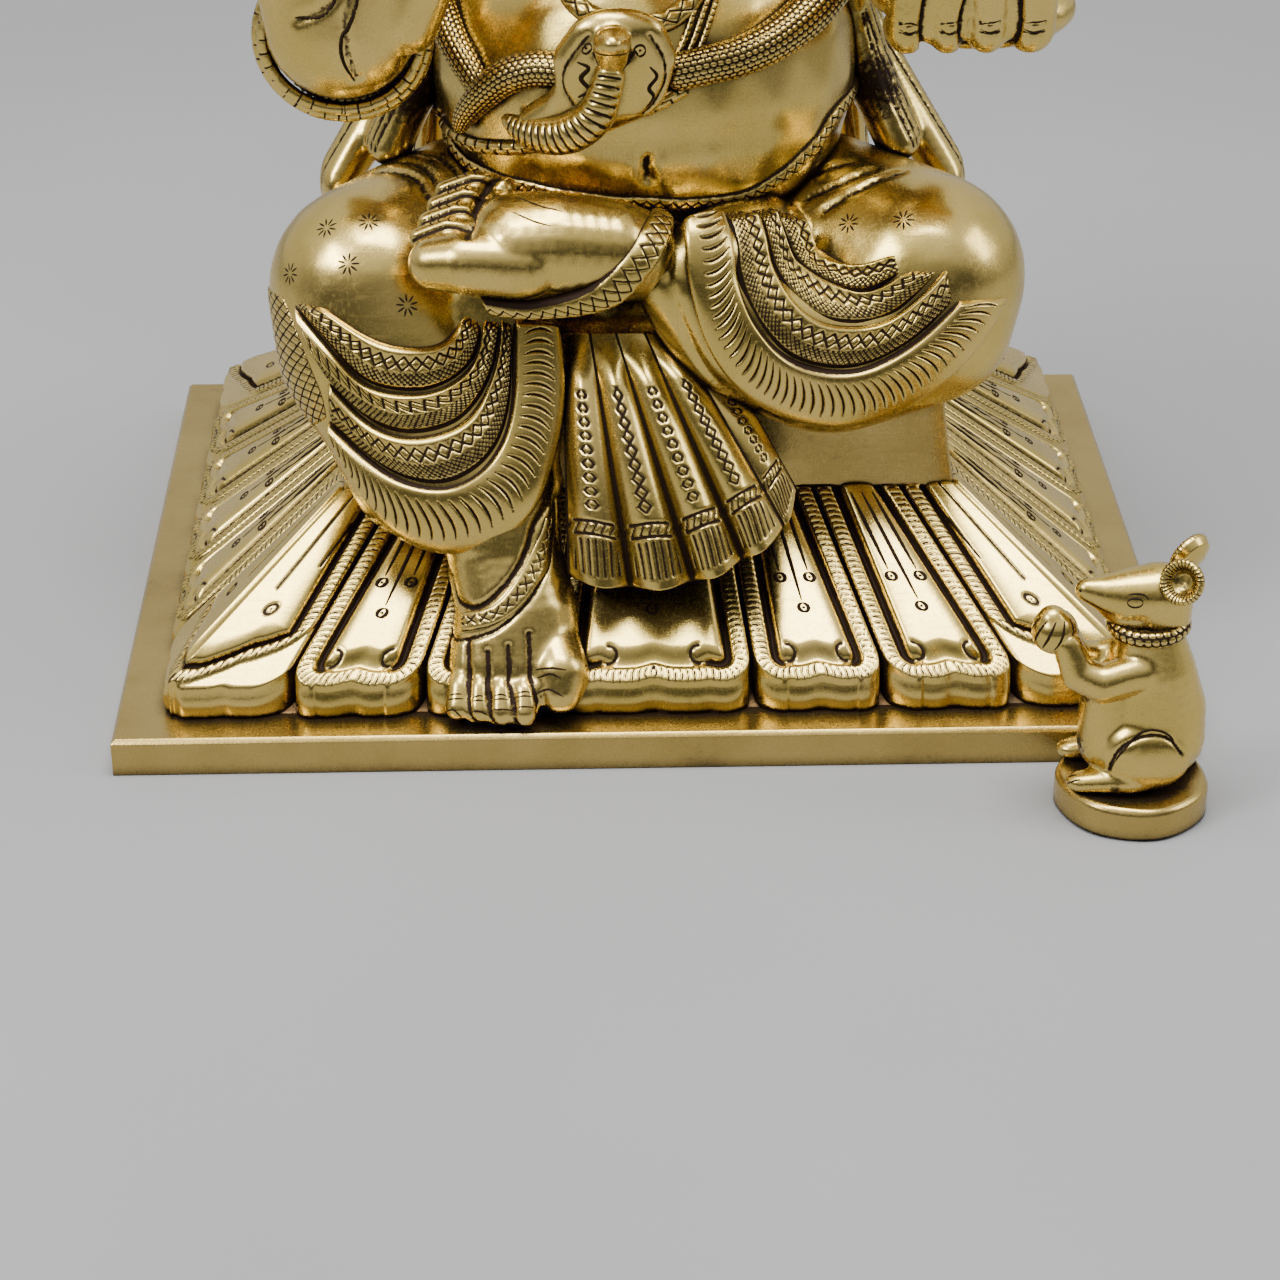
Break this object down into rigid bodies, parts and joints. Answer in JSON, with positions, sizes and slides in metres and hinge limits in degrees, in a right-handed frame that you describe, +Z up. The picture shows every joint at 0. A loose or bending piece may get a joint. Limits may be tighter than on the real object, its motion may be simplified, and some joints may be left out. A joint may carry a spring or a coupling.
{
  "type": "seated elephant-headed brass idol",
  "caption": "Cast brass Ganesha seated on a lotus throne with one leg hanging, serpent belt, sweet bowl, tall crown and a loose mouse on its own round stand.",
  "frame": {"origin": "centre of the base plate's underside, on the surface that the idol stands on", "axes": "+Z up, -Y to the front of the figure, +X to the figure's left"},
  "size_m": [0.381, 0.3532, 0.605],
  "materials": {
    "polished_brass": "hand polished, with fine brushing and dark brown patina in the hollows",
    "chased_brass": "chased and engraved, polished on the high parts, dark antique patina in the cuts",
    "steel_fixings": "plain zinc-plated fixings"
  },
  "bodies": {
    "idol": {"base_plate": "polished_brass", "lotus_core": "polished_brass", "petals_front": "chased_brass", "petals_back": "chased_brass", "petals_right": "chased_brass", "petals_left": "chased_brass", "petals_corner": "chased_brass", "seat_block": "polished_brass", "tie_bolts": "steel_fixings", "tie_washers": "steel_fixings", "torso": "polished_brass", "right_leg": "chased_brass", "left_leg": "chased_brass", "right_foot": "polished_brass", "left_foot": "polished_brass", "pleat_fan": "chased_brass", "waist_belt": "chased_brass", "serpent_body": "chased_brass", "serpent_hood": "chased_brass", "necklace": "chased_brass", "sacred_thread": "chased_brass", "right_front_arm": "polished_brass", "right_front_hand": "polished_brass", "right_bangle": "chased_brass", "left_front_arm": "polished_brass", "left_front_hand": "polished_brass", "left_bangle": "chased_brass", "sweet_bowl": "polished_brass", "sweets": "polished_brass", "right_rear_arm": "polished_brass", "axe": "chased_brass", "left_rear_arm": "polished_brass", "noose": "chased_brass", "head": "polished_brass", "trunk": "polished_brass", "right_ear": "polished_brass", "left_ear": "polished_brass", "right_tusk": "polished_brass", "left_tusk": "polished_brass", "crown": "chased_brass", "crown_finial": "chased_brass", "right_sash": "chased_brass", "left_sash": "chased_brass"},
    "mouse": {"mouse_stand": "polished_brass", "mouse_body": "polished_brass", "mouse_head": "polished_brass", "mouse_ears": "polished_brass", "mouse_collar": "chased_brass", "mouse_sweet": "polished_brass", "mouse_tail": "polished_brass"}
  },
  "joints": [
    {"name": "mouse_lift", "type": "slide", "parent": "idol", "child": "mouse", "axis": [0, 0, 1], "range_m": [0, 0.06]}
  ]
}
